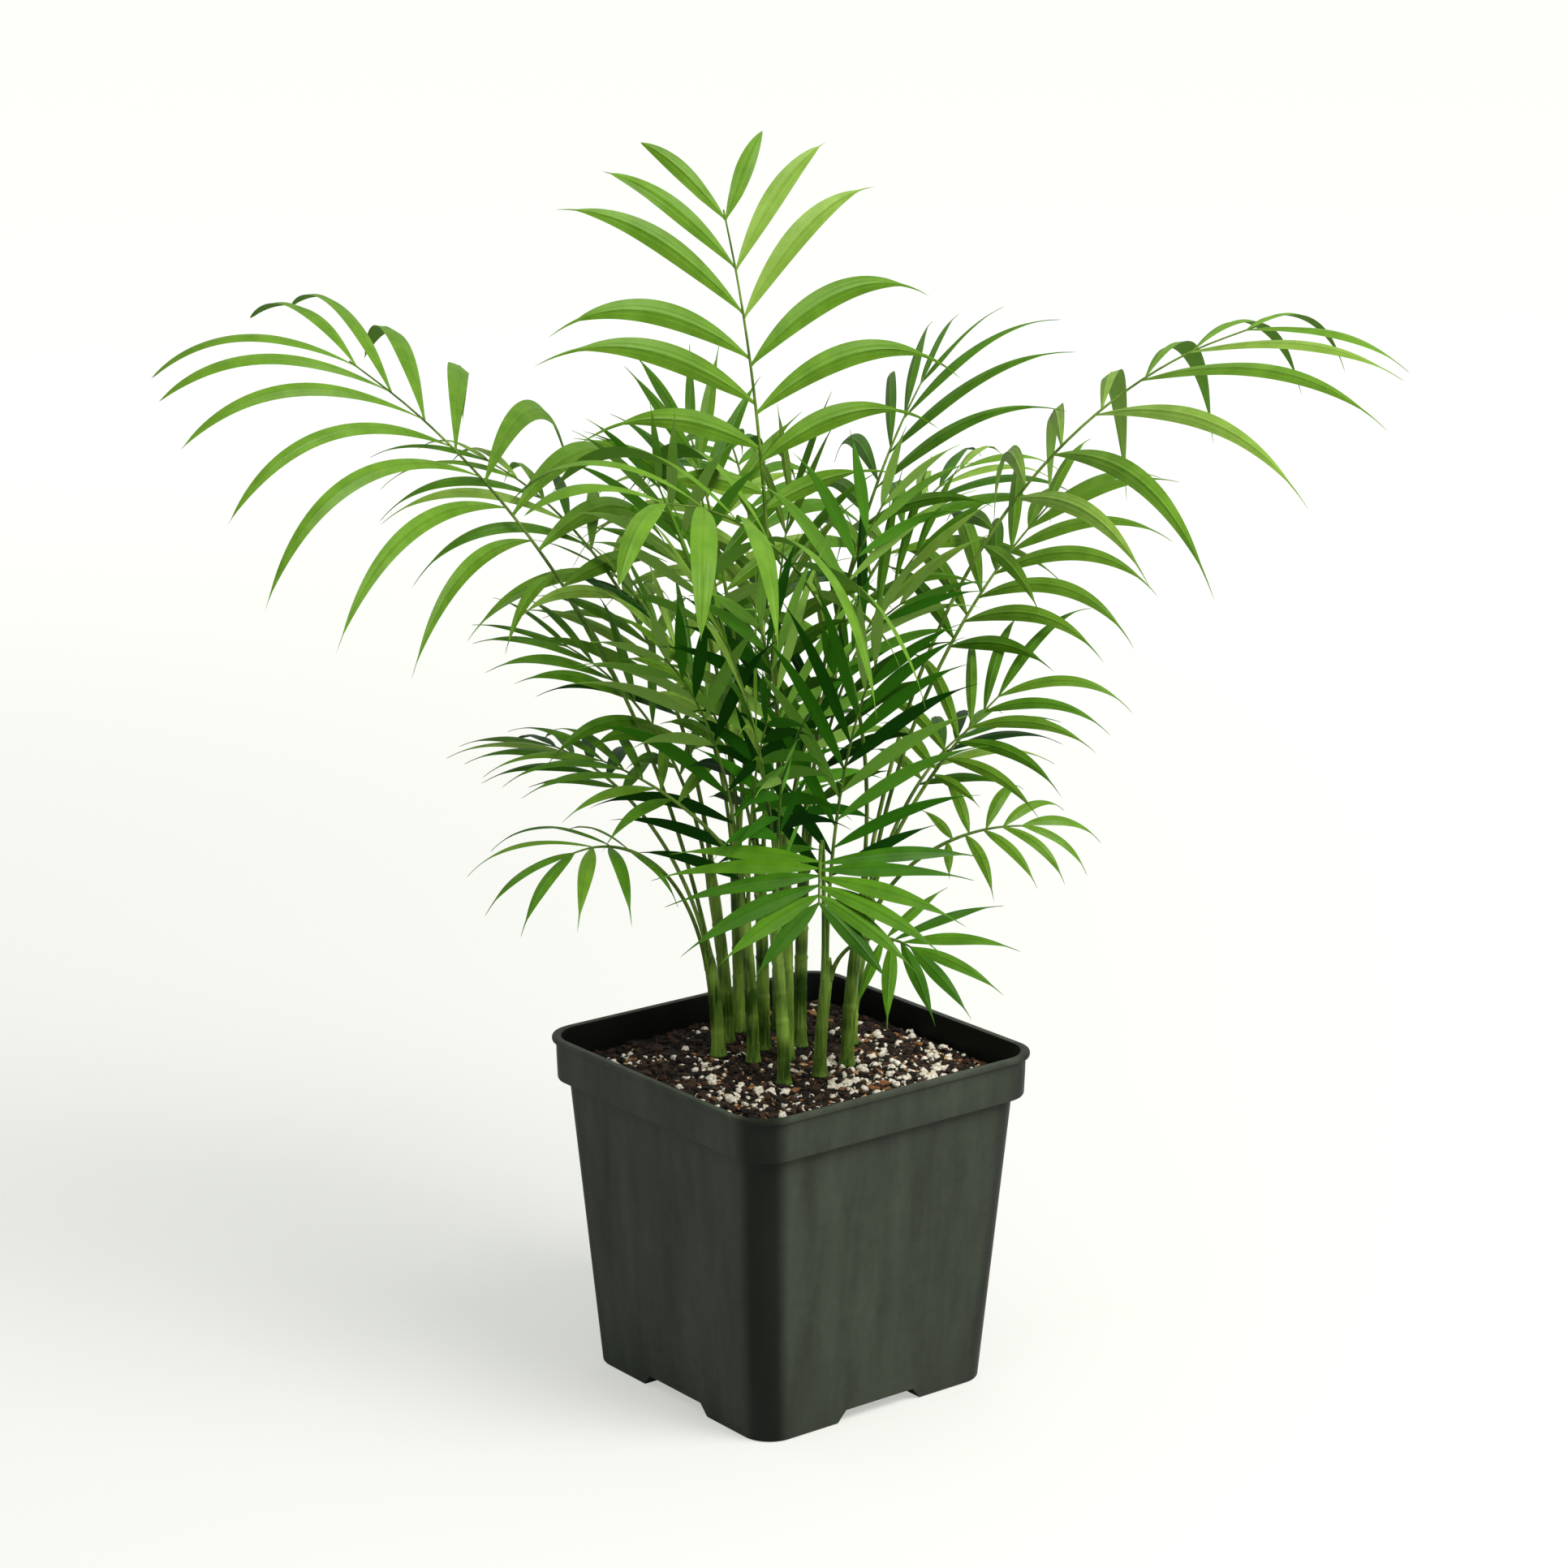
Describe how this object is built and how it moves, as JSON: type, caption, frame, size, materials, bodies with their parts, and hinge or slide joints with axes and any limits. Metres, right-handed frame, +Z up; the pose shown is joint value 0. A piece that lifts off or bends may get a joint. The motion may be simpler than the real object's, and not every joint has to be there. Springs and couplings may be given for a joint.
{
  "type": "potted parlour palm",
  "caption": "Young clumping parlour palm with arching feather-shaped fronds on slender green stems, standing in a square tapered nursery pot filled with potting mix.",
  "frame": {"origin": "centre of the pot's flat underside", "axes": "+Z straight up; +X and +Y square to two of the pot's walls"},
  "size_m": [0.4005, 0.4142, 0.4909],
  "materials": {
    "pot_plastic": "dark charcoal moulded plastic, satin",
    "potting_mix": "damp bark and peat mix with perlite",
    "stem_green": "smooth green stem with leaf-base rings",
    "frond_green": "thin leaf blade, slightly glossy"
  },
  "bodies": {
    "root": {"pot": "pot_plastic", "potting_mix": "potting_mix", "stem_front": "stem_green", "stem_front_right": "stem_green", "stem_right": "stem_green", "stem_right_back": "stem_green", "stem_middle": "stem_green", "stem_centre": "stem_green", "stem_left": "stem_green", "stem_left_back": "stem_green", "stem_inner": "stem_green", "stem_back": "stem_green", "stem_heart": "stem_green", "stem_rear": "stem_green", "frond_crown": "frond_green", "frond_left_arch": "frond_green", "frond_right_arch": "frond_green", "frond_front_arch": "frond_green", "frond_back_right_high": "frond_green", "frond_left_back_high": "frond_green", "frond_right_mid": "frond_green", "frond_right_low": "frond_green", "frond_right_small": "frond_green", "frond_front_small": "frond_green", "frond_front_fan": "frond_green", "frond_left_low": "frond_green", "frond_left_small": "frond_green", "frond_left_mid": "frond_green", "frond_left_inner": "frond_green", "frond_inner_front": "frond_green", "frond_inner_front_right": "frond_green", "frond_inner_right": "frond_green", "frond_inner_left": "frond_green", "frond_inner_back": "frond_green", "frond_back_arch": "frond_green", "frond_back_right_arch": "frond_green", "frond_back_left_arch": "frond_green", "frond_back_mid": "frond_green", "frond_back_low": "frond_green", "frond_back_right_low": "frond_green", "frond_heart_left": "frond_green", "frond_heart_front": "frond_green", "frond_heart_high": "frond_green", "frond_centre_high": "frond_green", "frond_middle_right": "frond_green", "frond_front_inner": "frond_green", "frond_rear_high": "frond_green", "frond_rear_left": "frond_green", "frond_rear_right": "frond_green", "frond_back_left_low": "frond_green"}
  },
  "joints": []
}
